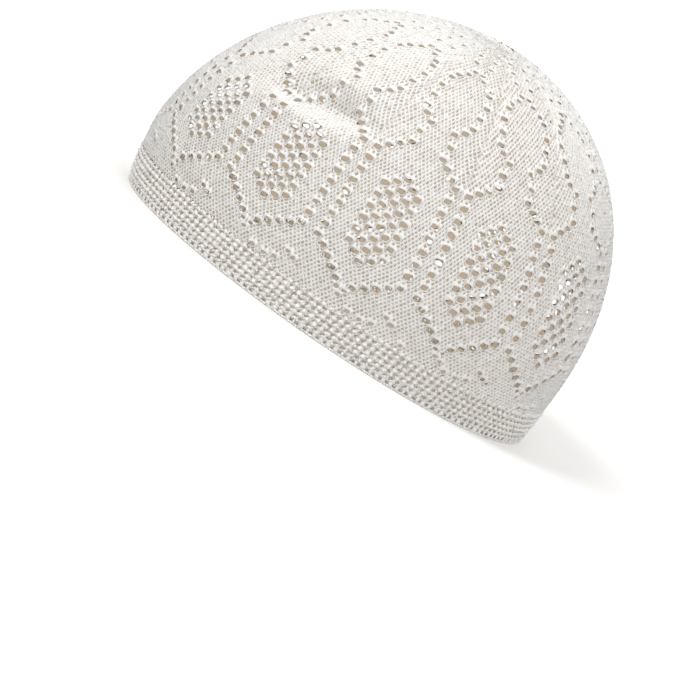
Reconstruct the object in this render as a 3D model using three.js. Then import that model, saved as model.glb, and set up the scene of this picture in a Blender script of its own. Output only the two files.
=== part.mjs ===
// An openwork knitted kufi: a soft domed cap on a ribbed band, as it sits when it is put down.
// Millimetres, +Z up. The rim stands on z = 0, the forehead side faces -Y and the wearer's left is +X.
// The origin is under the middle of the outside of the cap.
import * as THREE from 'three';

// Outside form of the cap
const capLength = 203.4;      // front to back at the widest level
const capWidth = 164;         // side to side at the widest level
const capHeight = 133.5;      // rim to the top of the dome
const widestLevel = 28;       // height of the widest level over the rim
const rimTuck = 3;            // how far the rim draws in from the widest level, all round
const rimSetBack = 1.6;       // how far the rim's middle lies behind the middle of the widest level
const topSetBack = 8.6;       // how far the top of the dome lies behind it
const backFullness = 0.05;    // share by which the back half is wider than an ellipse, and the front narrower
const crownTipDegrees = 5;    // the knitting's own centre sits this far forward of the top of the dome
const shoulderPower = 0.82;   // below 1, the sides of the dome are fuller than an ellipse

// Band and edge
const bandHeight = 15.6;      // rim to the first row of the crown, edge included
const ridgeCount = 5;         // raised rows on the band
const ridgeRelief = 0.8;      // how deep the grooves between the ridges are
const bandWall = 2.8;         // thickness over a ridge
const edgeHeight = 3.3;       // the chained edge under the band
const edgeThickness = 3;      // and its thickness
const edgeRound = 0.7;        // rounding of the edge's corners
const seam = 0.3;             // clearance between the edge, the band and the crown

// Crown
const crownWall = 2;          // thickness of the openwork knit
const motifCount = 12;        // repeats of the lace pattern round the cap
const motifWales = 24;        // stitch columns in one repeat
const rowCount = 112;         // half courses from the band to the centre of the top
const rowCrowding = 0.125;    // the first rows lie closer together than the last by about this share
const eyeletWales = 1.7;      // width of an eyelet, in stitch columns
const eyeletRows = 2;         // height of an eyelet, in half courses

// Facets
const ringFacets = 60;        // facets round the band and the edge
const tableSteps = 720;       // steps of the length tables

// Eyelets that are cut through in each repeat. The column counts stitch columns from the middle of the
// repeat, and the row counts half courses from the band.
const eyelets = [
  { column: -10, row: 20 },
  { column: 10, row: 20 },
  { column: -10, row: 32 },
  { column: 10, row: 32 },
  { column: -10, row: 44 },
  { column: 10, row: 44 },
  { column: -2, row: 26 },
  { column: 2, row: 26 },
  { column: -2, row: 38 },
  { column: 2, row: 38 },
];

// Plain rows under and over the eyelets, which shape the wall and the dome, in half courses from the band
const wallRows = [0, 9];
const domeRows = [48, 51, 54, 57, 61, 67, 74, 82, 91, 101];

// The fold near the front of the top. turn is a share of the way round from the wearer's left towards the
// back, run is a share of the way from the band to the top, halfWide is a share of the cap's length,
// halfTall of its height, and depth of its height, inwards.
const folds = [
  { name: 'hollow', turn: -0.093, run: 0.425, halfWide: 0.078, halfTall: 0.05, depth: 0.034 },
  { name: 'hollowEnd', turn: -0.121, run: 0.4, halfWide: 0.045, halfTall: 0.033, depth: 0.017 },
  { name: 'lowerLip', turn: -0.1, run: 0.362, halfWide: 0.1, halfTall: 0.034, depth: -0.013 },
  { name: 'upperLip', turn: -0.088, run: 0.5, halfWide: 0.07, halfTall: 0.04, depth: -0.009 },
];

const colours = {
  crown: { color: 0xe9e5de, roughness: 0.85 },
  band: { color: 0xe6e2da, roughness: 0.85 },
  edge: { color: 0xece8e1, roughness: 0.85 },
};

const halfLength = capLength / 2;
const halfWidth = capWidth / 2;
const domeHeight = capHeight - widestLevel;
const crownTip = THREE.MathUtils.degToRad(crownTipDegrees);
const tipSettles = THREE.MathUtils.degToRad(25);
const taperPower = 1.4;
const leanPower = 1.6;

// Length along a curve, at even steps of its parameter
function lengthTable(pointAt, first, last) {
  const steps = [{ at: first, length: 0 }];
  let previous = pointAt(first);
  for (let i = 1; i <= tableSteps; i += 1) {
    const at = first + ((last - first) * i) / tableSteps;
    const point = pointAt(at);
    steps.push({ at, length: steps[i - 1].length + point.distanceTo(previous) });
    previous = point;
  }
  return steps;
}

// Parameter of such a curve at a length along it
function parameterAt(steps, length) {
  if (length <= 0) {
    return steps[0].at;
  }
  let low = 0;
  let high = steps.length - 1;
  if (length >= steps[high].length) {
    return steps[high].at;
  }
  while (high - low > 1) {
    const middle = (low + high) >> 1;
    if (steps[middle].length <= length) {
      low = middle;
    } else {
      high = middle;
    }
  }
  const share = (length - steps[low].length) / (steps[high].length - steps[low].length);
  return THREE.MathUtils.lerp(steps[low].at, steps[high].at, share);
}

// Plan of the widest level: an ellipse that is fuller at the back
function planPoint(angle) {
  const fullness = 1 + backFullness * Math.sin(angle);
  return new THREE.Vector3(halfWidth * Math.cos(angle) * fullness, halfLength * Math.sin(angle), 0);
}

const planTable = lengthTable(planPoint, -Math.PI, Math.PI);
const girth = planTable[tableSteps].length;
const leftSide = planTable[tableSteps / 2].length;

// Angle of the plan at a share of the girth, counted from the wearer's left towards the back
function angleAtTurn(turn) {
  const length = leftSide + turn * girth;
  return parameterAt(planTable, length - girth * Math.floor(length / girth));
}

// Side run of the cap: straight up to the widest level, then a quarter oval to the top
function sidePoint(latitude) {
  const aside = halfWidth * Math.max(0, Math.cos(latitude)) ** shoulderPower;
  return new THREE.Vector3(aside, 0, domeHeight * Math.sin(latitude));
}

const sideTable = lengthTable(sidePoint, 0, Math.PI / 2);
const sideRun = widestLevel + sideTable[tableSteps].length;

// Below the widest level: the plan, drawn in towards the rim. inset shrinks it evenly.
function wallPoint(turn, height, inset) {
  const angle = angleAtTurn(turn);
  const under = Math.max(0, 1 - height / widestLevel) ** taperPower;
  const length = halfLength - rimTuck * under - inset;
  const width = (halfWidth * (1 - (rimTuck * under) / halfLength) - inset) * (1 + backFullness * Math.sin(angle));
  return new THREE.Vector3(width * Math.cos(angle), length * Math.sin(angle) + rimSetBack * under, height);
}

// Above it: an ellipsoid that leans back, with the knitting's centre tipped forward of its top
function domePoint(turn, latitude) {
  const angle = angleAtTurn(turn);
  const tip = crownTip * THREE.MathUtils.smoothstep(latitude, 0, tipSettles);
  const way = new THREE.Vector3(
    Math.cos(angle) * Math.cos(latitude),
    Math.sin(angle) * Math.cos(latitude),
    Math.sin(latitude),
  );
  way.applyAxisAngle(new THREE.Vector3(1, 0, 0), tip);
  const aside = Math.max(Math.hypot(way.x, way.y), 1e-9);
  const rise = Math.max(0, way.z);
  const shoulder = aside ** (shoulderPower - 1);
  return new THREE.Vector3(
    halfWidth * way.x * shoulder * (1 + (backFullness * way.y) / aside),
    halfLength * way.y + topSetBack * rise ** leanPower,
    widestLevel + domeHeight * way.z,
  );
}

function smoothPoint(turn, length) {
  if (length < widestLevel) {
    return wallPoint(turn, length, 0);
  }
  return domePoint(turn, parameterAt(sideTable, length - widestLevel));
}

// Outward normal of a surface, from short steps along it
function outwardAt(pointAt, turn, length) {
  const reach = 0.5;
  const here = pointAt(turn, length);
  const beside = pointAt(turn + reach / girth, length).sub(here);
  const above = pointAt(turn, Math.min(length + reach, sideRun - reach / 2)).sub(
    pointAt(turn, Math.min(length, sideRun - reach)),
  );
  return beside.cross(above).normalize();
}

// How far the folds push the knit inwards at a place
function foldDepth(turn, length) {
  const run = (length - bandHeight) / (sideRun - bandHeight);
  const tall = sideRun - bandHeight;
  let depth = 0;
  for (const fold of folds) {
    const along = (turn - fold.turn) - Math.round(turn - fold.turn);
    const narrowing = Math.cos((run * Math.PI) / 2);
    const aside = (along * girth * narrowing) / (fold.halfWide * capLength);
    const up = ((run - fold.run) * tall) / (fold.halfTall * capHeight);
    depth += fold.depth * capHeight * Math.exp(-(aside ** 2) - up ** 2);
  }
  return depth;
}

function crownPoint(turn, length) {
  const outward = outwardAt(smoothPoint, turn, length);
  return smoothPoint(turn, length).addScaledVector(outward, -foldDepth(turn, length));
}

// Length up the side at a row of the knitting
function lengthAtRow(row) {
  const share = row / rowCount;
  const crowded = share - rowCrowding * share * (1 - share);
  return bandHeight + seam + (sideRun - bandHeight - seam) * crowded;
}

// Collects points and faces, and makes one closed mesh of them
function meshOf(name, points, faces, look) {
  const geometry = new THREE.BufferGeometry();
  geometry.setAttribute('position', new THREE.Float32BufferAttribute(points.flatMap((p) => [p.x, p.y, p.z]), 3));
  geometry.setIndex(faces.flat());
  geometry.computeVertexNormals();
  const mesh = new THREE.Mesh(geometry, new THREE.MeshStandardMaterial({ metalness: 0, ...look }));
  mesh.name = name;
  return mesh;
}

// Column and row lines of the crown's grid. Each eyelet has a line on both sides, so it is one cell.
function gridLines(centres, size, extras) {
  const lines = new Set(extras);
  for (const centre of centres) {
    lines.add(centre - size / 2);
    lines.add(centre + size / 2);
  }
  return [...lines].sort((a, b) => a - b);
}

function makeCrown() {
  const columnLines = gridLines(new Set(eyelets.map((e) => e.column)), eyeletWales, []);
  const rowLines = gridLines(new Set(eyelets.map((e) => e.row)), eyeletRows, [...wallRows, ...domeRows]);
  const perMotif = columnLines.length;
  const around = perMotif * motifCount;
  const rows = rowLines.length;
  const openings = new Set(
    eyelets.map((e) => {
      const column = columnLines.indexOf(e.column - eyeletWales / 2);
      return `${column},${rowLines.indexOf(e.row - eyeletRows / 2)}`;
    }),
  );

  const outer = [];
  const inner = [];
  for (const row of rowLines) {
    const length = lengthAtRow(row);
    for (let c = 0; c < around; c += 1) {
      const wale = columnLines[c % perMotif] + motifWales * Math.floor(c / perMotif);
      const turn = wale / (motifWales * motifCount);
      const point = crownPoint(turn, length);
      outer.push(point);
      inner.push(point.clone().addScaledVector(outwardAt(crownPoint, turn, length), -crownWall));
    }
  }
  for (let c = 0; c < around; c += 1) {
    inner[c].z = outer[c].z;
  }
  const top = smoothPoint(0, sideRun);
  const topInside = top.clone().add(new THREE.Vector3(0, 0, -crownWall));
  const points = [...outer, ...inner, top, topInside];
  const inside = outer.length;
  const topIndex = points.length - 2;

  const at = (c, r) => r * around + (c % around);
  const open = (c, r) => openings.has(`${(c + around) % perMotif},${r}`);
  const faces = [];
  const wall = (a, b) => {
    faces.push([a, b, b + inside], [a, b + inside, a + inside]);
  };
  for (let r = 0; r < rows - 1; r += 1) {
    for (let c = 0; c < around; c += 1) {
      const [a, b, d, e] = [at(c, r), at(c + 1, r), at(c + 1, r + 1), at(c, r + 1)];
      if (open(c, r)) {
        wall(a, b);
        wall(b, d);
        wall(d, e);
        wall(e, a);
      } else {
        faces.push([a, b, d], [a, d, e]);
        faces.push([a + inside, d + inside, b + inside], [a + inside, e + inside, d + inside]);
      }
    }
  }
  for (let c = 0; c < around; c += 1) {
    const [a, b] = [at(c, rows - 1), at(c + 1, rows - 1)];
    faces.push([a, b, topIndex], [b + inside, a + inside, topIndex + 1]);
    wall(at(c + 1, 0), at(c, 0));
  }
  return meshOf('crown', points, faces, colours.crown);
}

// A closed hoop that follows the cap's plan. The profile's points give inset and height, in order round it.
function makeHoop(name, profile, look) {
  const points = [];
  const faces = [];
  const count = profile.length;
  for (let i = 0; i < ringFacets; i += 1) {
    for (const { inset, height } of profile) {
      points.push(wallPoint(i / ringFacets, height, inset));
    }
  }
  for (let i = 0; i < ringFacets; i += 1) {
    const next = (i + 1) % ringFacets;
    for (let j = 0; j < count; j += 1) {
      const k = (j + 1) % count;
      const [a, b, c, d] = [i * count + j, next * count + j, next * count + k, i * count + k];
      faces.push([a, b, c], [a, c, d]);
    }
  }
  return meshOf(name, points, faces, look);
}

function makeBand() {
  const bottom = edgeHeight + seam;
  const pitch = (bandHeight - bottom) / ridgeCount;
  const profile = [{ inset: ridgeRelief, height: bottom }];
  for (let ridge = 0; ridge < ridgeCount; ridge += 1) {
    profile.push({ inset: 0, height: bottom + pitch * (ridge + 0.5) });
    profile.push({ inset: ridgeRelief, height: bottom + pitch * (ridge + 1) });
  }
  profile.push({ inset: bandWall, height: bandHeight });
  profile.push({ inset: bandWall, height: bottom });
  return makeHoop('rib_band', profile, colours.band);
}

function makeEdge() {
  const profile = [
    { inset: edgeRound, height: 0 },
    { inset: 0, height: edgeRound },
    { inset: 0, height: edgeHeight - edgeRound },
    { inset: edgeRound, height: edgeHeight },
    { inset: edgeThickness, height: edgeHeight },
    { inset: edgeThickness, height: 0 },
  ];
  return makeHoop('cast_on_edge', profile, colours.edge);
}

const kufi = new THREE.Group();
kufi.name = 'kufi';
kufi.add(makeCrown(), makeBand(), makeEdge());

export default kufi;
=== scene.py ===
import math

import bpy
import numpy as np
from mathutils import Matrix, Vector


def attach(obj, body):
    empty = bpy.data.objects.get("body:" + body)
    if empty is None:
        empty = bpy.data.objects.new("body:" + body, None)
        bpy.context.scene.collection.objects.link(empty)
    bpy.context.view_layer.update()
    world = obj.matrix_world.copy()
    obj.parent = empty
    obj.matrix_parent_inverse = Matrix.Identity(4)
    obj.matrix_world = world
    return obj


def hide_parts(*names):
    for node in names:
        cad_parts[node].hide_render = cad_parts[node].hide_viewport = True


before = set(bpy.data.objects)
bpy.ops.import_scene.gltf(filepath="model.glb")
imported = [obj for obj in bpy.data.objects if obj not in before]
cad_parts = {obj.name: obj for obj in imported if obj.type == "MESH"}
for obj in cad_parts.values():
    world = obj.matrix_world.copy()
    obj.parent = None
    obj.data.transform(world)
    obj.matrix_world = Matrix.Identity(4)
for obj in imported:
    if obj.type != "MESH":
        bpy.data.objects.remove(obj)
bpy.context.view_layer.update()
rng = np.random.default_rng(38)
# The least length that anything is divided by
tiny = 1e-9
print("stage: frame loaded")

# The cap's form, in mm, with the same sizes as its CAD. Turns are shares of the way round, from the
# wearer's left towards the back. A fold's run is a share of the way from the band to the top. The last one,
# a fine crease, is the cloth's alone.
capForm = {
    "length": 203.4, "width": 164.0, "height": 133.5, "widestLevel": 28.0,
    "rimTuck": 3.0, "rimSetBack": 1.6, "topSetBack": 8.6, "backFullness": 0.05,
    "crownTip": math.radians(5), "tipSettles": math.radians(25),
    "shoulderPower": 0.82, "taperPower": 1.4, "leanPower": 1.6,
    "bandHeight": 15.6, "seam": 0.3, "normalReach": 0.4,
    "folds": (
        {"turn": -0.093, "run": 0.425, "halfWide": 15.9, "halfTall": 6.7, "depth": 4.5},
        {"turn": -0.121, "run": 0.400, "halfWide": 9.2, "halfTall": 4.4, "depth": 2.3},
        {"turn": -0.100, "run": 0.362, "halfWide": 20.3, "halfTall": 4.5, "depth": -1.7},
        {"turn": -0.088, "run": 0.500, "halfWide": 14.2, "halfTall": 5.3, "depth": -1.2},
        {"turn": -0.066, "run": 0.430, "halfWide": 8.5, "halfTall": 2.8, "depth": 1.9},
    ),
}


def smoothStep(x):
    # 3x^2 - 2x^3 between 0 and 1
    x = np.clip(x, 0, 1)
    return x * x * (3 - 2 * x)


def unit(v):
    # each vector divided by its length
    return v / np.maximum(np.linalg.norm(v, axis=-1, keepdims=True), tiny)


# Tables of lengths in mm: round the plan at the widest level, and up the side from there to the top
samples = 1440
planAngles = np.linspace(-math.pi, math.pi, samples + 1)
planX = capForm["width"] / 2 * np.cos(planAngles) * (1 + capForm["backFullness"] * np.sin(planAngles))
planY = capForm["length"] / 2 * np.sin(planAngles)
planRun = np.concatenate([[0], np.cumsum(np.hypot(np.diff(planX), np.diff(planY)))])
girth = planRun[-1]
leftSide = planRun[samples // 2]
domeHeight = capForm["height"] - capForm["widestLevel"]
sideAngles = np.linspace(0, math.pi / 2, samples + 1)
sideAside = capForm["width"] / 2 * np.maximum(np.cos(sideAngles), 0) ** capForm["shoulderPower"]
sideSteps = np.hypot(np.diff(sideAside), np.diff(domeHeight * np.sin(sideAngles)))
sideLengths = np.concatenate([[0], np.cumsum(sideSteps)])
sideRun = capForm["widestLevel"] + sideLengths[-1]


def angleAtTurn(turn):
    # angle of the plan whose arc, from the wearer's left, is turn times the girth
    return np.interp((leftSide + turn * girth) % girth, planRun, planAngles)


def smoothPoint(turn, length):
    # below the widest level the plan drawn in by tuck * (1 - height / level)^taper, above it an oval dome:
    # way = (cos a cos t, sin a cos t, sin t), tipped about X, then half width * x * aside^(shoulder - 1),
    # half length * y + set back * rise^lean, level + dome height * z
    f = capForm
    angle = angleAtTurn(turn)
    under = np.maximum(0, 1 - length / f["widestLevel"]) ** f["taperPower"]
    halfLong = f["length"] / 2 - f["rimTuck"] * under
    halfWide = f["width"] / 2 * (1 - f["rimTuck"] * under / (f["length"] / 2))
    wall = np.stack([
        halfWide * np.cos(angle) * (1 + f["backFullness"] * np.sin(angle)),
        halfLong * np.sin(angle) + f["rimSetBack"] * under,
        length + 0 * angle,
    ], -1)
    latitude = np.interp(length - f["widestLevel"], sideLengths, sideAngles)
    tip = f["crownTip"] * smoothStep(latitude / f["tipSettles"])
    wayX = np.cos(angle) * np.cos(latitude)
    level = np.sin(angle) * np.cos(latitude)
    wayY = level * np.cos(tip) - np.sin(latitude) * np.sin(tip)
    wayZ = level * np.sin(tip) + np.sin(latitude) * np.cos(tip)
    aside = np.maximum(np.hypot(wayX, wayY), tiny)
    dome = np.stack([
        f["width"] / 2 * wayX * aside ** (f["shoulderPower"] - 1) * (1 + f["backFullness"] * wayY / aside),
        f["length"] / 2 * wayY + f["topSetBack"] * np.maximum(wayZ, 0) ** f["leanPower"],
        f["widestLevel"] + domeHeight * wayZ,
    ], -1)
    return np.where((length < f["widestLevel"])[..., None], wall, dome)


def outwardAt(pointAt, turn, length):
    # cross product of a short step round and a short step up
    reach = capForm["normalReach"]
    top = sideRun - reach
    here = np.minimum(length, top)
    beside = pointAt(turn + reach / girth, here) - pointAt(turn - reach / girth, here)
    above = pointAt(turn, np.minimum(here + reach, top)) - pointAt(turn, np.minimum(here, top - reach))
    return unit(np.cross(beside, above))


def foldDepth(turn, length):
    # sum of depth * exp(-(across / half width)^2 - (up / half height)^2), narrowed towards the top
    tall = sideRun - capForm["bandHeight"]
    run = (length - capForm["bandHeight"]) / tall
    depth = np.zeros(np.broadcast(turn, length).shape)
    for fold in capForm["folds"]:
        along = (turn - fold["turn"]) - np.round(turn - fold["turn"])
        across = along * girth * np.cos(run * math.pi / 2) / fold["halfWide"]
        up = (run - fold["run"]) * tall / fold["halfTall"]
        depth = depth + fold["depth"] * np.exp(-across ** 2 - up ** 2)
    return depth


def foldedPoint(turn, length):
    # the smooth surface pushed in by the folds
    depth = foldDepth(turn, length)[..., None]
    return smoothPoint(turn, length) - outwardAt(smoothPoint, turn, length) * depth


def clothPoint(turn, length, lift):
    # the folded surface raised by lift along its outward normal, with that normal
    outward = outwardAt(foldedPoint, turn, length)
    return foldedPoint(turn, length) + outward * np.asarray(lift)[..., None], outward


mmToMetres = 0.001
knitPieces = []


def newPiece(name, slotName, replaced, material, points, quads, uvs, hollow, normals=None):
    # one mesh object from whole arrays, in metres, smooth shaded. uvs run along and across the yarn, the
    # painted shade is 1 where a place faces the inside of the knit, and normals are given where pieces meet
    mesh = bpy.data.meshes.new(name)
    mesh.vertices.add(len(points))
    mesh.vertices.foreach_set("co", np.ascontiguousarray(points * mmToMetres, dtype=np.float32).ravel())
    corners = np.ascontiguousarray(quads, dtype=np.int32)
    sides = corners.shape[1]
    mesh.loops.add(corners.size)
    mesh.loops.foreach_set("vertex_index", corners.ravel())
    mesh.polygons.add(len(corners))
    mesh.polygons.foreach_set("loop_start", np.arange(len(corners), dtype=np.int32) * sides)
    mesh.polygons.foreach_set("use_smooth", np.ones(len(corners), dtype=bool))
    layer = mesh.uv_layers.new(name="yarn")
    layer.data.foreach_set("uv", np.ascontiguousarray(uvs, dtype=np.float32).ravel())
    inside = mesh.attributes.new("hollow", "FLOAT", "POINT")
    inside.data.foreach_set("value", np.ascontiguousarray(hollow, dtype=np.float32))
    mesh.update(calc_edges=True)
    mesh.validate()
    if normals is not None:
        mesh.normals_split_custom_set_from_vertices(normals.tolist())
    mesh.materials.append(material)
    piece = bpy.data.objects.new(name, mesh)
    bpy.context.scene.collection.objects.link(piece)
    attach(piece, "root")
    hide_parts(replaced)
    knitPieces.append(piece)
    print("stage:", name, len(corners) * (sides - 2), "triangles")


yarnShade = {"middle": 0.72, "swing": 0.75}


def hollowRound(turns):
    # painted shade round a yarn, as far as its sides face the inside of the knit: middle - swing * cos a,
    # where a is 0 in front
    return np.clip(yarnShade["middle"] - yarnShade["swing"] * np.cos(turns), 0, 1)


def ringTube(centres, outward, wide, thick, sides):
    # closed yarn: centre + outward * thick * cos a + side * wide * sin a, for each of its sides, where
    # side is tangent x outward and the tangent joins the neighbours of each centre
    count = len(centres)
    tangent = unit(np.roll(centres, -1, 0) - np.roll(centres, 1, 0))
    across = unit(np.cross(tangent, outward))
    up = np.cross(across, tangent)
    turns = 2 * math.pi * np.arange(sides) / sides
    wide = np.broadcast_to(wide, (count,))[:, None, None]
    thick = np.broadcast_to(thick, (count,))[:, None, None]
    points = centres[:, None] + up[:, None] * thick * np.cos(turns)[None, :, None]
    points = points + across[:, None] * wide * np.sin(turns)[None, :, None]
    i = np.arange(count)[:, None]
    k = np.arange(sides)[None]
    nextI, nextK = (i + 1) % count, (k + 1) % sides
    quads = np.stack([i * sides + k, i * sides + nextK, nextI * sides + nextK, nextI * sides + k], -1)
    run = np.concatenate([[0], np.cumsum(np.linalg.norm(np.roll(centres, -1, 0) - centres, axis=1))])
    here, there = run[:-1, None] + 0 * k, run[1:, None] + 0 * k
    low = k / sides + 0 * i
    high = low + 1 / sides
    uvs = np.stack([here, low, here, high, there, high, there, low], -1)
    # painted shade on each yarn's sides and back
    hollow = np.tile(hollowRound(turns), count)
    return points.reshape(-1, 3), quads.reshape(-1, 4), uvs.reshape(-1, 4, 2), hollow


def joined(parts):
    # several sets of points, faces, UVs and painted shade values as one
    points, faces, uvs, hollow = zip(*parts)
    starts = np.cumsum([0] + [len(part) for part in points[:-1]])
    faces = [part + start for part, start in zip(faces, starts)]
    return tuple(np.concatenate(part) for part in (points, faces, uvs, hollow))


class Socket:
    # wraps a shader socket, so that an expression on it adds Math nodes
    def __init__(self, tree, link):
        self.tree, self.link = tree, link

    def math(self, operation, a, b=None):
        # a Math node on sockets or numbers
        node = self.tree.nodes.new("ShaderNodeMath")
        node.operation = operation
        for port, value in zip(node.inputs, (a, b)):
            if isinstance(value, Socket):
                self.tree.links.new(value.link, port)
            elif value is not None:
                port.default_value = value
        return Socket(self.tree, node.outputs[0])

    def __add__(self, other):
        return self.math("ADD", self, other)

    def __radd__(self, other):
        return self.math("ADD", other, self)

    def __sub__(self, other):
        return self.math("SUBTRACT", self, other)

    def __rsub__(self, other):
        return self.math("SUBTRACT", other, self)

    def __mul__(self, other):
        return self.math("MULTIPLY", self, other)

    def __rmul__(self, other):
        return self.math("MULTIPLY", other, self)

    def sine(self):
        return self.math("SINE", self)


class Shader:
    # a new material, whose other nodes come from one method. Sockets are given by name, with _ for a space,
    # or by number, as i6, where a name repeats.
    def __init__(self, name):
        self.material = bpy.data.materials.new(name)
        self.material.use_nodes = True
        self.tree = self.material.node_tree
        self.tree.nodes.clear()

    def node(self, kind, output=0, settings=None, **sockets):
        made = self.tree.nodes.new(kind)
        for key, value in (settings or {}).items():
            setattr(made, key, value)
        for key, value in sockets.items():
            byNumber = key[0] == "i" and key[1:].isdigit()
            port = made.inputs[int(key[1:]) if byNumber else key.replace("_", " ")]
            if isinstance(value, Socket):
                self.tree.links.new(value.link, port)
            else:
                port.default_value = value
        return Socket(self.tree, made.outputs[output])

    def mixed(self, factor, first, second):
        # the first colour where factor is 0, and the second where it is 1
        return self.node(
            "ShaderNodeMix", output=2, settings={"data_type": "RGBA"}, Factor=factor, i6=first, i7=second,
        )

    def finished(self, surface):
        # the material, with this surface as its output
        output = self.tree.nodes.new("ShaderNodeOutputMaterial")
        self.tree.links.new(surface.link, output.inputs["Surface"])
        return self.material


def yarnMaterial(name, look):
    # two-ply cotton: the plies are sin(2 pi (along / lay + around * plies)), fibres a fine noise, and the
    # colour drifts between two near whites, darker with a tan painted shade where it faces the inside of the
    # knit
    s = Shader(name)
    place = s.node("ShaderNodeTexCoord", output="Object")
    along = s.node("ShaderNodeSeparateXYZ", Vector=s.node("ShaderNodeUVMap", settings={"uv_map": "yarn"}))
    around = Socket(s.tree, along.link.node.outputs[1])
    plies = ((along * (1 / look["lay"]) + around * look["plies"]) * (2 * math.pi)).sine()
    fibres, drift = [
        s.node(
            "ShaderNodeTexNoise", Vector=place, Scale=look[kind + "Scale"], Detail=look["detail"],
            Roughness=look[kind + "Rough"],
        ) for kind in ("fibre", "drift")
    ]
    outside = s.mixed(drift * look["driftShare"] + fibres * look["fibreShare"], look["pale"], look["warm"])
    hollow = s.node("ShaderNodeAttribute", output="Fac", settings={"attribute_name": "hollow"})
    colour = s.mixed((hollow - look["hollowStart"]) * look["hollowGain"], outside, look["inside"])
    bump = s.node(
        "ShaderNodeBump", Height=plies * look["plyDepth"] + fibres * look["fibreDepth"],
        Strength=1.0, Distance=mmToMetres,
    )
    return s.finished(s.node(
        "ShaderNodeBsdfPrincipled", Base_Color=colour, Normal=bump, Roughness=look["roughness"],
        Sheen_Weight=look["sheen"], Sheen_Roughness=look["sheenRough"], Specular_IOR_Level=look["specular"],
    ))


# Colours are linear, the lay of the plies is in mm, and depths are in mm of bump
# The tan colours are painted shade, for places that face the inside of the knit
cotton = {
    "pale": (0.93, 0.92, 0.905, 1), "warm": (0.90, 0.885, 0.86, 1), "inside": (0.53, 0.45, 0.355, 1),
    "roughness": 0.45, "sheen": 0.12, "sheenRough": 0.4, "specular": 0.6, "detail": 2.0,
    "lay": 1.3, "plies": 2, "plyDepth": 0.04, "fibreDepth": 0.42, "fibreScale": 1150.0, "fibreRough": 0.6,
    "driftScale": 60.0, "driftRough": 0.5, "driftShare": 0.7, "fibreShare": 0.3,
    "hollowStart": 0.4, "hollowGain": 2.4,
}
# The band and edge use the crown's cotton with greyer colours, painted shade for the less lit band
shadedRimCotton = {
    **cotton, "pale": (0.90, 0.885, 0.865, 1), "warm": (0.86, 0.84, 0.81, 1),
    "inside": (0.58, 0.49, 0.39, 1), "lay": 1.6, "plyDepth": 0.14, "fibreDepth": 0.55, "hollowStart": 0.34,
}
crownYarn = yarnMaterial("crown_yarn", cotton)
bandYarn = yarnMaterial("band_yarn", shadedRimCotton)
edgeYarn = yarnMaterial("edge_yarn", shadedRimCotton)
print("stage: materials")

# The crown is a net of small gaps. A row is half a course, counted from the band, and the gaps of odd rows
# lie between those of even rows. Wales are counted from the middle of a repeat, and lengths are in mm.
# Painted shade darkens the gaps' corners, the crossings and the falling yarns, as shade between stitches
crownKnit = {
    "motifs": 12, "wales": 24, "rows": 112, "lastRow": 106, "rowCrowding": 0.125, "patternShift": 1.0,
    "leastWale": 1.8, "endMargin": 0.3, "sideInset": 0.66, "tallInset": 0.95, "riseInset": 0.56,
    "fallInset": 0.42, "leastGap": 0.14, "gapLift": -0.4, "gapPaintedShade": 0.75, "jitter": 0.09,
    "liftJitter": 0.1, "sunk": 0.5, "crossOut": 0.12, "crossIn": -0.5, "riseOut": 0.72, "riseIn": -0.5,
    "fallOut": 0.02, "fallIn": -0.6, "crossPaintedShade": 0.26, "fallPaintedShade": 0.1, "unevenGap": 0.15,
    "unevenPaintedShade": 0.07, "anchoring": 0.22, "settling": 80, "pieceRows": 20,
    "hiddenFrom": 0.25, "hiddenEase": 0.06, "hiddenWales": 2.5,
}
# An eyelet's corners carry a lighter painted shade than other gaps
eyeletForm = {
    "halfWide": 1.76, "above": 0.98, "below": 1.1, "strand": 0.38, "fullness": 1.1, "padLift": 0.24,
    "padShare": 0.4, "hollow": 0.5, "unevenPlace": 0.08, "unevenSize": 0.07, "unevenTurn": 0.07,
    "smallest": 0.55, "smallPush": 0.5,
}


def mirrored(places):
    # the same places on both sides of the repeat's middle
    return [(side * wale, row, size) for side in (-1, 1) for wale, row, size in places]


# Charts of (wale, row, size) in one repeat: the zigzag lines, the cluster and the small holes near the band
lineChart = mirrored(
    [(1, 6, 0.6), (2, 8, 1), (4, 10, 1), (6, 12, 1), (8, 14, 1), (10, 16, 1)]
    + [(10, row, 1) for row in range(20, 49, 4)]
    + [(8, 50, 0.96), (6, 52, 0.94), (4, 54, 0.92), (4, 58, 0.9), (4, 62, 0.88), (6, 64, 0.88)]
    + [(8, 66, 0.88), (8, 70, 0.86), (8, 74, 0.84), (8, 78, 0.82), (6, 80, 0.8), (4, 82, 0.78)]
    + [(2, 84, 0.78), (5, 88, 0.74), (5, 92, 0.7), (6, 96, 0.68)]
) + [(0, 100, 0.64), (0, 104, 0.6)]
clusterChart = [
    (wale, row, 0.97)
    for wale, first, last in ((-4, 20, 40), (-2, 18, 42), (0, 16, 44), (2, 18, 42), (4, 20, 40))
    for row in range(first, last + 1, 4)
]
smallChart = [
    (11, 6, 0.66), (-11.5, 5, 0.72), (-10, 4, 0.5), (9, 2, 0.62), (-7.5, 1, 0.5), (0, 4, 0.6),
    (1.5, 3, 0.5), (3.5, 1, 0.74), (6.5, 1, 0.68),
]


def lengthAtRow(row):
    # base + rest of the side run * (share - crowding * share * (1 - share)), from the seam over the band
    share = row / crownKnit["rows"]
    crowded = share - crownKnit["rowCrowding"] * share * (1 - share)
    base = capForm["bandHeight"] + capForm["seam"]
    return base + (sideRun - base) * crowded


def roundAtRow(row):
    # length round the cap at a row, in steps of a degree
    turns = np.linspace(0, 1, 361)
    points = smoothPoint(turns, lengthAtRow(row) + 0 * turns)
    return np.linalg.norm(np.diff(points, axis=0), axis=1).sum()


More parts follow.
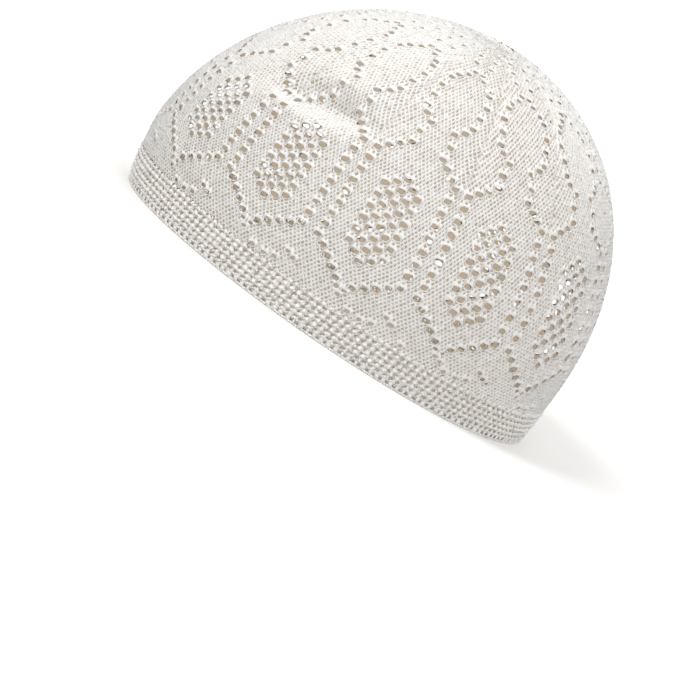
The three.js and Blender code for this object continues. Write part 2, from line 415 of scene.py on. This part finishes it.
# For each whole row: the length round it, the height of a row, the width of a wale and half a repeat, in mm
wholeRows = np.arange(-1, crownKnit["rows"] - 1, 1.0)
rowRounds = np.array([roundAtRow(row) for row in wholeRows])
rowPitches = np.gradient(lengthAtRow(wholeRows))
rowWales = np.maximum(rowRounds / (crownKnit["motifs"] * crownKnit["wales"]), crownKnit["leastWale"])
halfRepeats = rowRounds / crownKnit["motifs"] / 2
shift = crownKnit["patternShift"] / (crownKnit["motifs"] * crownKnit["wales"])


def atRows(table, row):
    # a row's value, read between the whole rows
    return np.interp(row, wholeRows, table)


def lastGaps():
    # the last gap of each row on either side of a repeat's middle. Where a repeat narrows, outer gaps end.
    k, last = crownKnit, []
    for row in range(k["lastRow"] + 1):
        odd = row % 2
        if atRows(rowWales, row) > k["leastWale"]:
            last.append(k["wales"] / 2 - odd / 2)
        else:
            room = atRows(halfRepeats, row) / atRows(rowWales, row) - k["endMargin"]
            last.append(max(last[-1] + (0.5 if last[-1] + 0.5 <= room else -0.5), odd / 2))
    return np.array(last)


def placedEyelets():
    # each eyelet takes the nearest gap of the net: whole waves on even rows, half waves on odd ones
    k, placed = crownKnit, []
    for wale, row, size in lineChart + clusterChart + smallChart:
        odd = row % 2
        wave = wale / (k["wales"] / 2) * atRows(halfRepeats, row) / atRows(rowWales, row)
        gap = np.round(wave - odd / 2)
        if abs(gap + odd / 2) <= lastGap[row]:
            placed += [(motif * k["wales"] + gap, row, size) for motif in range(k["motifs"])]
    return np.array(placed)


lastGap = lastGaps()
eyelets = placedEyelets()
print("stage: chart,", len(eyelets), "eyelets")


def easedRound(turn):
    # on the wearer's right the stitches sit hiddenWales further round, eased in over hiddenEase of a turn
    k = crownKnit
    away = 0.5 - np.abs(turn % 1 - 0.5)
    hidden = smoothStep((away - k["hiddenFrom"]) / k["hiddenEase"])
    return turn + k["hiddenWales"] / (k["motifs"] * k["wales"]) * hidden


def settled(moves, held, oddRows):
    # moves of the net's crossings: each free one is the mean of its four neighbours' moves, drawn a little
    # back to nothing, round after round
    k = crownKnit
    for _ in range(k["settling"]):
        beside = np.where(oddRows[:, None, None], np.roll(moves, 1, 1), np.roll(moves, -1, 1))
        pairs = np.pad(moves + beside, ((1, 1), (0, 0), (0, 0)))
        mean = (pairs[:-2] + pairs[2:]) / (4 + k["anchoring"])
        moves = np.where(held[..., None], moves, mean)
    return moves


def unevenDraws(shape):
    # draws from the bell curve, kept within 2
    return np.clip(rng.normal(0, 1, shape), -2, 2)


# The eight places that outline a gap, counted from the right and up: crossings, with the middle of a yarn
# between each two
ways = np.arange(8) * math.pi / 4
isNode = np.arange(8) % 2 == 0


class CrownNet:
    # Gap (row, i) is centred at wave i + (row odd) / 2. Each place of its outline has an outer and an inner
    # side, and each gap has a corner of its own for each place. moves are in mm from plain knit, held
    # places stay where they are pushed, and same names the place that stands for each where ends are joined.
    def __init__(self):
        k = crownKnit
        self.count = k["motifs"] * k["wales"]
        self.gapRows, self.nodeRows = np.arange(k["lastRow"] + 1), np.arange(-1, k["lastRow"] + 2)
        self.layOut()
        self.joinEnds()
        self.pushEyelets()
        self.placeCorners()
        self.placePoints()

    def layOut(self):
        # crossings at half waves, then the middles of the yarns between them, then the eight places that
        # outline each gap, and how far these lie from its centre in plain knit, in mm
        k, count, i = crownKnit, self.count, np.arange(self.count)[None]
        midRows = self.nodeRows[:-1] + 0.5
        m = np.arange(2 * count)[None]
        self.rising = (m + np.floor(midRows)[:, None]) % 2 == 1
        nodeWave = i + 0.5 + (self.nodeRows % 2)[:, None] / 2
        midWave = m / 2 + 0.25 + 0 * midRows[:, None]
        self.wave = np.concatenate([nodeWave.ravel(), midWave.ravel()])
        self.row = np.concatenate([np.repeat(self.nodeRows, count), np.repeat(midRows, 2 * count)])
        self.nodeTotal, self.total = nodeWave.size, len(self.wave)

        r = np.arange(len(self.gapRows))[:, None]
        self.odd = (self.gapRows % 2)[:, None]
        upper = (i - 1 + self.odd) % count
        twice = 2 * i + self.odd
        midAt = self.nodeTotal + r * 2 * count
        self.outline = np.stack([
            (r + 1) * count + i, midAt + 2 * count + twice % (2 * count),
            (r + 2) * count + upper, midAt + 2 * count + (twice - 1) % (2 * count),
            (r + 1) * count + (i - 1) % count, midAt + (twice - 1) % (2 * count),
            r * count + upper, midAt + twice % (2 * count),
        ], -1)
        half = k["wales"] / 2
        self.fromMiddle = (i + self.odd / 2 + half) % k["wales"] - half
        self.kept = np.abs(self.fromMiddle) <= lastGap[:, None]

        self.pitch = atRows(rowPitches, self.gapRows)[:, None, None]
        self.wale = atRows(rowWales, self.gapRows)[:, None, None]
        self.plainX = self.wale * np.where(isNode, 0.5, 0.25) * np.sign(np.round(np.cos(ways), 6))
        self.plainY = self.pitch * np.where(isNode, 1, 0.5) * np.sign(np.round(np.sin(ways), 6))
        self.moves = np.zeros((self.total, 2))
        self.held = np.zeros(self.total, bool)
        self.welded = np.zeros(self.kept.shape + (8,), bool)
        self.same = np.arange(self.total)

    def joinEnds(self):
        # where rows narrow, their ends reach the edge of the repeat and share the next one's end places
        k, outline = crownKnit, self.outline
        for at in np.nonzero(atRows(rowWales, self.gapRows) <= k["leastWale"])[0]:
            right = np.nonzero(self.fromMiddle[at] == lastGap[at])[0]
            left = (right + k["wales"] - int(2 * lastGap[at])) % self.count
            rightEnd, leftEnd = outline[at, right, 0], outline[at, left, 4]
            reach = atRows(halfRepeats, at) - (lastGap[at] + 0.5) * atRows(rowWales, at)
            self.moves[rightEnd, 0] = reach
            self.moves[leftEnd, 0] = -reach
            self.held[rightEnd] = self.held[leftEnd] = True
            self.same[leftEnd] = rightEnd
            if at > 0 and lastGap[at] > lastGap[at - 1]:
                self.same[outline[at, left, 5]] = outline[at, right, 7]
                self.welded[at, right, 6] = self.welded[at, left, 4] = True
            if at < k["lastRow"] and lastGap[at + 1] < lastGap[at]:
                self.same[outline[at, left, 3]] = outline[at, right, 1]
                self.welded[at, right, 0] = self.welded[at, left, 2] = True

    def pushEyelets(self):
        # eyelets push their outline to an oval, small ones part of the way, and the free crossings settle.
        # The middle of a yarn moves by the mean of its two ends.
        k, e, outline, moves, held = crownKnit, eyeletForm, self.outline, self.moves, self.held
        self.atRow, self.atGap = eyelets[:, 1].astype(int), eyelets[:, 0].astype(int) % self.count
        size = eyelets[:, 2] * (1 + e["unevenSize"] * unevenDraws(len(eyelets)))
        self.big = big = size > e["smallest"]
        turned = rng.normal(0, e["unevenTurn"], len(size))[:, None]
        full = np.where(isNode, 1, e["fullness"])
        tall = np.where(np.sin(ways) > 0, e["above"], e["below"])
        x = (e["halfWide"] * size[:, None] + e["strand"]) * full * np.cos(ways)
        y = (tall * size[:, None] + e["strand"]) * full * np.sin(ways)
        x, y = x * np.cos(turned) - y * np.sin(turned), x * np.sin(turned) + y * np.cos(turned)
        place = rng.normal(0, e["unevenPlace"], (len(size), 2))
        pushX = x + place[:, :1] - self.plainX[self.atRow, 0]
        pushY = y + place[:, 1:] - self.plainY[self.atRow, 0]
        push = np.stack([pushX, pushY], -1)
        pushed = outline[self.atRow, self.atGap]
        moves[pushed[~big]] = push[~big] * e["smallPush"]
        moves[pushed[big]] = push[big]
        held[pushed] = True
        shape = (len(self.nodeRows), self.count)
        crossings = moves[:self.nodeTotal].reshape(*shape, 2)
        crossings = settled(crossings, held[:self.nodeTotal].reshape(shape), self.nodeRows % 2 == 1)
        moves[:self.nodeTotal] = crossings.reshape(-1, 2)
        for mid in (1, 3, 5, 7):
            ends = (moves[outline[..., mid - 1]] + moves[outline[..., (mid + 1) % 8]]) / 2
            free = self.kept & ~held[outline[..., mid]]
            moves[outline[..., mid][free]] = ends[free]
        self.moves = moves + rng.normal(0, k["jitter"], moves.shape)

    def placeCorners(self):
        # corner = centre + (outline - centre) * (1 - inset / distance), a little uneven from gap to gap.
        # Two pads, gaps that are drawn shut and raised, lie over each large eyelet.
        k, e, atRow, atGap, big = crownKnit, eyeletForm, self.atRow, self.atGap, self.big
        offX, offY = self.plainX + self.moves[self.outline, 0], self.plainY + self.moves[self.outline, 1]
        centreX, centreY = offX.mean(-1, keepdims=True), offY.mean(-1, keepdims=True)
        far = np.maximum(np.hypot(offX - centreX, offY - centreY), tiny)
        inset = np.tile([k["sideInset"], k["fallInset"], k["tallInset"], k["riseInset"]], 2) + 0 * far
        inset[atRow, atGap] = e["strand"]
        uneven = unevenDraws(self.kept.shape)
        uneven[atRow, atGap] = 0
        uneven = uneven[..., None]
        share = np.maximum((1 - inset / far) * (1 + k["unevenGap"] * uneven), k["leastGap"])
        lift = k["gapLift"] + rng.normal(0, k["liftJitter"], far.shape)
        # painted shade in each gap's corners, uneven from gap to gap, less in eyelets and none on pads
        hollow = k["gapPaintedShade"] + k["unevenPaintedShade"] * uneven + 0 * far
        lift[atRow, atGap] -= k["gapLift"]
        hollow[atRow, atGap] = e["hollow"]
        self.isOpen, isPad = np.zeros(self.kept.shape, bool), np.zeros(self.kept.shape, bool)
        self.isOpen[atRow, atGap] = True
        for side in (0, -1):
            isPad[atRow[big] + 1, (atGap[big] + atRow[big] % 2 + side) % self.count] = True
        isPad &= ~self.isOpen
        share[isPad] *= e["padShare"]
        lift[isPad] = e["padLift"]
        hollow[isPad] = 0
        self.cornerX, self.cornerY = centreX + (offX - centreX) * share, centreY + (offY - centreY) * share
        self.cornerLift, self.cornerPaintedShade = lift, hollow

    def placePoints(self):
        # turn = middle of the repeat + mm from it / length round the row. The rising yarn, up left and down
        # right of a gap, is in front, and heights are over the middle of the cloth.
        k, i, rows = crownKnit, np.arange(self.count)[None], self.gapRows[:, None, None]
        middleWave = np.round(self.wave / k["wales"]) * k["wales"]
        x = (self.wave - middleWave) * atRows(rowWales, self.row) + self.moves[:, 0]
        turn = middleWave / self.count + shift + x / atRows(rowRounds, self.row)
        height = self.row + self.moves[:, 1] / atRows(rowPitches, self.row)
        centreTurn = (i + self.odd / 2 - self.fromMiddle)[..., None] / self.count + shift
        aside = self.fromMiddle[..., None] * self.wale + self.cornerX
        cornerTurn = centreTurn + aside / atRows(rowRounds, rows)
        cornerRow = rows + self.cornerY / self.pitch

        crossing = np.ones(self.nodeTotal)
        middleOut = np.where(self.rising, k["riseOut"], k["fallOut"]).ravel()
        middleIn = np.where(self.rising, k["riseIn"], k["fallIn"]).ravel()
        middlePaintedShade = np.where(self.rising, 0, k["fallPaintedShade"]).ravel()
        noise = rng.normal(0, k["liftJitter"], self.total)
        outer = np.concatenate([k["crossOut"] * crossing, middleOut]) + noise
        inner = np.concatenate([k["crossIn"] * crossing, middleIn]) + noise
        lift = np.concatenate([outer, inner, self.cornerLift.ravel()]) - k["sunk"]
        turns = easedRound(np.concatenate([turn, turn, cornerTurn.ravel()]))
        lengths = lengthAtRow(np.concatenate([height, height, cornerRow.ravel()]))
        self.points, _ = clothPoint(turns, lengths, lift)
        # painted shade: full on the inner side of the net, some on crossings and falling yarns, and in gap
        # corners
        self.hollow = np.concatenate([
            k["crossPaintedShade"] * crossing, middlePaintedShade, np.ones(self.total), self.cornerPaintedShade.ravel(),
        ])
        self.places = np.stack([turns * girth, lengths], -1)
        self.corner = 2 * self.total + np.arange(cornerTurn.size).reshape(cornerTurn.shape)

    def gapFaces(self, chosen):
        # from each gap's outline to its corners. Eyelets go on to the inner side, through the cloth, and
        # other gaps have a floor and an inner face, a closing sheet coloured with painted shade where the
        # knit has a small shaded hole.
        ring, gap, through = self.same[self.outline[chosen]], self.corner[chosen], self.isOpen[chosen]
        inner = ring + self.total
        step = np.roll(np.arange(8), -1)
        split = np.array([[0, 1, 2, 3], [0, 3, 4, 7], [4, 5, 6, 7]])
        return np.concatenate([faces.reshape(-1, 4) for faces in (
            np.stack([ring, ring[:, step], gap[:, step], gap], -1),
            gap[~through][:, split],
            inner[~through][:, split[:, ::-1]],
            np.stack([inner, gap, gap[:, step], inner[:, step]], -1)[through],
        )])

    def walls(self, here):
        # a wall between the outer and inner sides wherever no gap lies beyond a side of one
        over, under = np.zeros_like(here), np.zeros_like(here)
        over[:-1], under[1:] = here[1:], here[:-1]
        rightOf = [np.where(self.odd == 1, np.roll(table, -1, 1), table) for table in (over, under)]
        leftOf = [np.where(self.odd == 1, table, np.roll(table, 1, 1)) for table in (over, under)]
        found = []
        for side, present in zip((0, 2, 4, 6), (rightOf[0], leftOf[0], leftOf[1], rightOf[1])):
            edge = self.outline[..., [side, side + 1, (side + 2) % 8]]
            bare = self.same[edge[here & ~present & ~self.welded[..., side]]]
            start, end = bare[:, :-1], bare[:, 1:]
            found.append(np.stack([start, start + self.total, end + self.total, end], -1).reshape(-1, 4))
        return found

    def pieces(self):
        # bands of rows, with the normal at a place as the sum of its faces' cross products in the whole net
        points, whole = self.points, self.gapFaces(self.kept)
        a, b, c, d = [points[whole[:, side]] for side in range(4)]
        crossed = np.cross(c - a, d - b)
        normals = unit(np.stack([
            np.bincount(whole.ravel(), np.repeat(crossed[:, axis], 4), len(points)) for axis in range(3)
        ], -1))
        for start in range(0, len(self.gapRows), crownKnit["pieceRows"]):
            inBand = (self.gapRows >= start) & (self.gapRows < start + crownKnit["pieceRows"])
            here = self.kept & inBand[:, None]
            faces = np.concatenate([self.gapFaces(here)] + self.walls(here))
            used, quads = np.unique(faces, return_inverse=True)
            quads = quads.reshape(-1, 4)
            uvs = self.places[used][quads]
            uvs[..., 0] -= girth * np.round((uvs[..., 0] - uvs[:, :1, 0]) / girth)
            yield points[used], quads, uvs, self.hollow[used], normals[used]


for number, part in enumerate(CrownNet().pieces()):
    newPiece(f"crown_net_{number + 1}", "crown_knit", "crown", crownYarn, *part)

# The stitches gathered at the top of the crown, in mm, with painted shade in their valleys
gatherForm = {
    "ribs": 24, "reach": 11.5, "ribDepth": 0.7, "stitches": 5, "stitchDepth": 0.24, "crownOut": 0.1,
    "sunk": 0.8, "rimDip": 0.25, "thick": 0.9, "rimThick": 0.02, "steps": 20, "perRib": 6, "ribPower": 8,
    "dipPower": 4, "valleyPaintedShade": 0.95, "valleyPower": 0.4, "stitchPaintedShade": 0.15, "underTop": 0.01,
}


def crownGather():
    # a closed round pad, for r from 0 at the top to 1 at the rim. Outer height = out * (1 - r^2) -
    # dip * r^4 + rib * (rib depth + stitch depth * cos(2 pi stitches r)), where rib = sqrt(r) * (1 - r^8) *
    # |cos(pi ribs turn)|, and the inner side is thick * sqrt(1 - r^2) under it
    g = gatherForm
    around, steps = g["ribs"] * g["perRib"], g["steps"]
    turn, share = np.meshgrid(np.arange(around) / around, np.linspace(0, 1, steps + 1)[1:], indexing="ij")
    ridge = np.abs(np.cos(math.pi * g["ribs"] * turn))
    rib = ridge * np.sqrt(share) * (1 - share ** g["ribPower"])
    beat = np.cos(2 * math.pi * g["stitches"] * share)
    length = sideRun - g["reach"] * share
    stitched = rib * (g["ribDepth"] + g["stitchDepth"] * beat)
    outerLift = g["crownOut"] * (1 - share ** 2) + stitched - g["sunk"]
    outerLift = outerLift - g["rimDip"] * share ** g["dipPower"]
    innerLift = outerLift - g["thick"] * np.sqrt(np.maximum(1 - share ** 2, 0)) - g["rimThick"]
    outer, _ = clothPoint(turn, length, outerLift)
    inner, _ = clothPoint(turn, length, innerLift)
    top = foldedPoint(np.array([0.0]), np.array([sideRun - g["underTop"]]))[0]
    tipLift = g["crownOut"] - g["sunk"]
    tips = top + np.array([[0, 0, tipLift], [0, 0, tipLift - g["thick"]]])
    points = np.concatenate([tips, outer.reshape(-1, 3), inner.reshape(-1, 3)])

    def at(a, b):
        return 2 + (a % around) * steps + b

    under, last, a = around * steps, steps - 1, np.arange(around)
    i, j = np.meshgrid(a, np.arange(last), indexing="ij")
    quads = np.concatenate([
        np.stack([at(i, j), at(i, j + 1), at(i + 1, j + 1), at(i + 1, j)], -1).reshape(-1, 4),
        np.stack([at(i, j), at(i + 1, j), at(i + 1, j + 1), at(i, j + 1)], -1).reshape(-1, 4) + under,
        np.stack([at(a, last), at(a, last) + under, at(a + 1, last) + under, at(a + 1, last)], -1),
    ])
    outerTip = np.stack([0 * a, at(a, 0), at(a + 1, 0)], -1)
    innerTip = np.stack([0 * a + 1, at(a + 1, 0) + under, at(a, 0) + under], -1)
    faces = np.concatenate([quads[:, [0, 1, 2]], quads[:, [0, 2, 3]], outerTip, innerTip])
    # painted shade in the valleys between the ribs and between the stitches, full on the inner side
    valleyShade = g["valleyPaintedShade"] * (1 - ridge) ** g["valleyPower"] + g["stitchPaintedShade"] * (1 - beat)
    hollow = np.concatenate([[0, 1], np.clip(valleyShade, 0, 1).ravel(), np.ones(under)])
    ribAt = np.concatenate([[0, 0], np.tile((g["ribs"] * turn).ravel(), 2)])
    runAt = np.concatenate([[0, 0], np.tile((g["reach"] * share).ravel(), 2)])
    uvs = np.stack([runAt, ribAt], -1)[faces]
    uvs[..., 1] -= g["ribs"] * np.round((uvs[..., 1] - uvs[:, :1, 1]) / g["ribs"])
    return points, faces, uvs, hollow


newPiece("crown_gather", "crown_knit", "crown", crownYarn, *crownGather())

# The band, in mm over the rim. A repeat is one link and one hole, and slant is how far the next row up is
# shifted. Yarns under flatUnder lie flat, without unevenness in their height.
bandKnit = {
    "repeats": 168, "steps": 9, "ridges": (5.0, 7.2, 9.6, 12.0, 14.4), "slant": 0.21, "lobe": 0.13,
    "jitter": 0.12, "flatUnder": 1.0, "linkReach": 0.75, "backDrop": 0.4,
    "front": {
        "halfTall": 0.8, "halfThick": 0.7, "sunk": 0.66, "scallop": 0.26, "swell": 0.24, "lump": 0.28,
        "sides": 6,
    },
    "back": {
        "halfTall": 0.2, "halfThick": 0.2, "sunk": 1.2, "scallop": 0.3, "swell": 0, "lump": 0, "sides": 4,
    },
    "links": {"halfWide": 1.12, "halfThick": 0.55, "sunk": 0.78},
}
# The edge's yarns are its chain, the top of the chain, and a flat one behind them
edgeKnit = {
    "yarns": (
        {
            "level": 0.52, "halfTall": 0.5, "halfThick": 0.5, "sunk": 0.55, "phase": 0.5, "scallop": 0,
            "swell": 0.12, "lump": 0.06, "sides": 6,
        },
        {
            "level": 2.85, "halfTall": 0.56, "halfThick": 0.56, "sunk": 0.55, "phase": 0, "scallop": 0.3,
            "swell": 0.15, "lump": 0.1, "sides": 6,
        },
        {
            "level": 1.9, "halfTall": 1.0, "halfThick": 0.25, "sunk": 1.25, "phase": 0, "scallop": 0,
            "swell": 0, "lump": 0, "sides": 5,
        },
    ),
    "linksFrom": 0.62, "linksTo": 3.05, "links": {"halfWide": 1.28, "halfThick": 0.5, "sunk": 0.6},
}
# Upright yarns: rings along each, sides of a ring, and how uneven they are, in shares of the band's jitter
linkForm = {
    "stations": 4, "sides": 5, "leastShare": 0.8, "fullness": 0.2, "unevenWidth": 2.0, "unevenPlace": 1.5,
    "tipPaintedShade": 0.4,
}


def bandRing(yarn, level, phase):
    # a closed yarn round the band: height = level + scallop * cos(2 pi wave) - lobe * cos(6 pi wave), and
    # size = 1 + swell * cos(2 pi wave) + lobe * cos(6 pi wave). Only yarns that swell have lobes.
    b = bandKnit
    wave = np.arange(b["repeats"] * b["steps"]) / b["steps"]
    turn = (wave + phase) / b["repeats"]
    noise = rng.normal(0, b["jitter"], (3, len(turn)))
    uneven = noise[0] * (level > b["flatUnder"])
    beat = np.cos(2 * math.pi * wave)
    lobe = b["lobe"] * (yarn["swell"] > 0) * np.cos(6 * math.pi * wave)
    height = level + yarn["scallop"] * beat - lobe + uneven
    lift = -yarn["sunk"] + noise[2] + yarn["lump"] * beat
    centres, outward = clothPoint(turn + noise[1] / girth, height, lift)
    size = 1 + yarn["swell"] * beat + lobe + uneven
    return ringTube(centres, outward, yarn["halfTall"] * size, yarn["halfThick"] * size, yarn["sides"])


def uprightLinks(link, low, high, phase):
    # an upright yarn in each repeat, closed to a point at both ends: rings from low to high, whose width is
    # half width * (least share + fullness * (1 - s^2)) with s from -1 to 1
    f, count = linkForm, bandKnit["repeats"]
    stations, sides = f["stations"], f["sides"]
    s = np.linspace(-1, 1, stations)
    turns = 2 * math.pi * np.arange(sides) / sides
    noise = rng.normal(0, bandKnit["jitter"], (3, count, 1, 1))
    fat = (f["leastShare"] + f["fullness"] * (1 - s ** 2))[:, None]
    aside = link["halfWide"] * fat * np.sin(turns) * (1 + f["unevenWidth"] * noise[2])
    lift = link["halfThick"] * fat * np.cos(turns) - link["sunk"] + 0 * aside
    turn = (np.arange(count)[:, None, None] + phase) / count + (aside + f["unevenPlace"] * noise[0]) / girth
    height = (low + high) / 2 + (high - low) / 2 * s[:, None] + noise[1] + 0 * turn
    rings, _ = clothPoint(turn, height, lift)
    tips = rings.mean(2)[:, [0, -1]]
    points = np.concatenate([rings.reshape(-1, 3), tips.reshape(-1, 3)])

    first = (np.arange(count) * stations * sides)[:, None]
    k = np.arange(sides)[None]
    nextK = (k + 1) % sides
    ring = first[..., None] + np.arange(stations - 1)[:, None] * sides
    quads = np.stack([ring + k, ring + nextK, ring + sides + nextK, ring + sides + k], -1).reshape(-1, 4)
    last = first + (stations - 1) * sides
    lowTip = count * stations * sides + 2 * np.arange(count)[:, None] + 0 * k
    lowFaces = np.stack([first + nextK, first + k, lowTip], -1).reshape(-1, 3)
    highFaces = np.stack([last + k, last + nextK, lowTip + 1], -1).reshape(-1, 3)
    faces = np.concatenate([quads[:, [0, 1, 2]], quads[:, [0, 2, 3]], lowFaces, highFaces])
    # painted shade on each yarn's sides and back, and some at its closed tips
    hollow = np.tile(hollowRound(turns), count * stations)
    hollow = np.concatenate([hollow, np.full(2 * count, f["tipPaintedShade"])])
    return points, faces, np.zeros((len(faces), 3, 2)), hollow


def bandParts():
    # rows up from the top of the edge's chain, each a ridge, the links under it and a yarn behind these
    b = bandKnit
    rings, links = [], []
    lowEnds = (edgeKnit["yarns"][1]["level"],) + b["ridges"][:-1]
    for number, (low, level) in enumerate(zip(lowEnds, b["ridges"])):
        phase = b["slant"] * number
        middle = (low + level) / 2
        rings.append(bandRing(b["front"], level, phase + b["slant"] / 2))
        links.append(uprightLinks(b["links"], middle - b["linkReach"], middle + b["linkReach"], phase))
        rings.append(bandRing(b["back"], middle - b["backDrop"], phase + 0.5))
    return rings, links


ridgeParts, linkParts = bandParts()
newPiece("band_ridges", "band_knit", "rib_band", bandYarn, *joined(ridgeParts))
newPiece("band_links", "band_knit", "rib_band", bandYarn, *joined(linkParts))
edgePhase = -bandKnit["slant"]
edgeParts = [bandRing(yarn, yarn["level"], edgePhase + yarn["phase"]) for yarn in edgeKnit["yarns"]]
newPiece("edge_chain", "edge_yarn", "cast_on_edge", edgeYarn, *joined(edgeParts))
newPiece("edge_links", "edge_yarn", "cast_on_edge", edgeYarn, *uprightLinks(
    edgeKnit["links"], edgeKnit["linksFrom"], edgeKnit["linksTo"], edgePhase,
))

stageForm = {
    "halfWide": 6.0, "near": 5.0, "back": 2.6, "sweep": 1.6, "tall": 5.0, "colour": (0.93, 0.93, 0.925, 1),
    "roughness": 0.9, "dark": (0, 0, 0, 1), "glow": (1, 1, 1, 1), "glowStrength": 0.35, "glowFrom": 0.25,
    "glowTo": 0.9, "arcSteps": 25,
}


def makeStage():
    # a floor that turns up behind the cap in a quarter circle: a profile carried along Y. Its glow starts
    # some way from the cap.
    f = stageForm
    arc = np.linspace(0, math.pi / 2, f["arcSteps"])
    x = np.concatenate([[f["near"]], -f["back"] - f["sweep"] * np.sin(arc), [-f["back"] - f["sweep"]]])
    z = np.concatenate([[0], f["sweep"] * (1 - np.cos(arc)), [f["tall"]]])
    y = np.array([-f["halfWide"], f["halfWide"]])
    points = np.stack([np.repeat(x, 2), np.tile(y, len(x)), np.repeat(z, 2)], -1)
    i = np.arange(len(x) - 1)
    quads = np.stack([2 * i, 2 * i + 1, 2 * i + 3, 2 * i + 2], -1)
    mesh = bpy.data.meshes.new("floor")
    mesh.from_pydata(points.tolist(), [], quads.tolist())
    mesh.polygons.foreach_set("use_smooth", np.ones(len(quads), dtype=bool))
    s = Shader("floor_paint")
    place = s.node("ShaderNodeTexCoord", output="Object")
    away = s.node("ShaderNodeVectorMath", output=1, settings={"operation": "LENGTH"}, i0=place)
    lit = s.node(
        "ShaderNodeMapRange", settings={"interpolation_type": "SMOOTHSTEP"}, Value=away,
        From_Min=f["glowFrom"], From_Max=f["glowTo"],
    )
    glow = s.mixed(lit, f["dark"], f["glow"])
    mesh.materials.append(s.finished(s.node(
        "ShaderNodeBsdfPrincipled", Base_Color=f["colour"], Roughness=f["roughness"],
        Emission_Color=glow, Emission_Strength=f["glowStrength"],
    )))
    floor = bpy.data.objects.new("floor", mesh)
    bpy.context.scene.collection.objects.link(floor)
    floor.visible_diffuse = False


makeStage()

# Lights: from is where each one stands, in metres from the cap's middle, and size its width or radius. The
# inner one lights only the knit, as the light that comes through cotton does.
lights = {
    "key": {"kind": "AREA", "from": (0.8, -1.2, 1.7), "size": 0.8, "power": 21.5},
    "fill": {"kind": "AREA", "from": (2.2, 0.5, 0.9), "size": 2.0, "power": 18.5},
    "top": {"kind": "AREA", "from": (-0.3, 0.5, 2.2), "size": 1.6, "power": 6.5},
    "beyond": {"kind": "AREA", "from": (-2.2, 0.4, 0.7), "size": 1.8, "power": 11.0},
    "inner": {"kind": "POINT", "from": (0, 0, -0.01), "size": 0.03, "power": 0.14},
}
surround = {"colour": (1.0, 0.99, 0.97, 1), "strength": 0.68}
middle = Vector((0, 0, 0.06))


def makeLights():
    # every lamp faces the cap's middle, and an even surround fills in
    knit = bpy.data.collections.new("knit")
    for piece in knitPieces:
        knit.objects.link(piece)
    for name, light in lights.items():
        data = bpy.data.lights.new(name, light["kind"])
        if light["kind"] == "AREA":
            data.shape = "DISK"
            data.size = light["size"]
        else:
            data.shadow_soft_size = light["size"]
        data.energy = light["power"]
        lamp = bpy.data.objects.new(name, data)
        lamp.location = middle + Vector(light["from"])
        lamp.rotation_euler = (-Vector(light["from"])).to_track_quat("-Z", "Y").to_euler()
        lamp.visible_camera = False
        if name == "inner":
            lamp.light_linking.receiver_collection = knit
        bpy.context.scene.collection.objects.link(lamp)
    world = bpy.data.worlds.new("studio")
    world.use_nodes = True
    background = world.node_tree.nodes["Background"]
    background.inputs["Color"].default_value = surround["colour"]
    background.inputs["Strength"].default_value = surround["strength"]
    bpy.context.scene.world = world
    bpy.context.scene.view_settings.view_transform = "Standard"


makeLights()

# The camera stands at the wearer's left, a little above the rim, and is rolled as the photo is. atPixel is
# where the photo shows the cap's middle.
view = {
    "distance": 1.8, "elevation": math.radians(7.65), "roll": math.radians(34.2),
    "atPixel": (401.9, 188.1), "imageSize": 700, "focalPixels": 4320.0, "sensor": 36.0, "clipEnd": 50,
}


def makeCamera():
    # looks at the cap's middle, rolled, and then turned so that the middle falls on its pixel
    v = view
    ahead = Vector((-math.cos(v["elevation"]), 0, -math.sin(v["elevation"])))
    right = Vector((0, 1, 0))
    up = right.cross(ahead)
    rolledRight = right * math.cos(v["roll"]) + up * math.sin(v["roll"])
    rolledUp = up * math.cos(v["roll"]) - right * math.sin(v["roll"])
    half = v["imageSize"] / 2
    aside = half - v["atPixel"][0]
    below = half - v["atPixel"][1]
    axis = (ahead * v["focalPixels"] + rolledRight * aside - rolledUp * below).normalized()
    rolledRight = (rolledRight - axis * rolledRight.dot(axis)).normalized()
    rolledUp = rolledRight.cross(axis)
    data = bpy.data.cameras.new("photo_view")
    data.sensor_width = v["sensor"]
    data.lens = v["focalPixels"] / v["imageSize"] * v["sensor"]
    data.clip_end = v["clipEnd"]
    camera = bpy.data.objects.new("photo_view", data)
    turn = Matrix((rolledRight, rolledUp, -axis)).transposed()
    camera.matrix_world = Matrix.Translation(middle - ahead * v["distance"]) @ turn.to_4x4()
    bpy.context.scene.collection.objects.link(camera)
    bpy.context.scene.camera = camera


makeCamera()
print("stage: floor, light and camera")
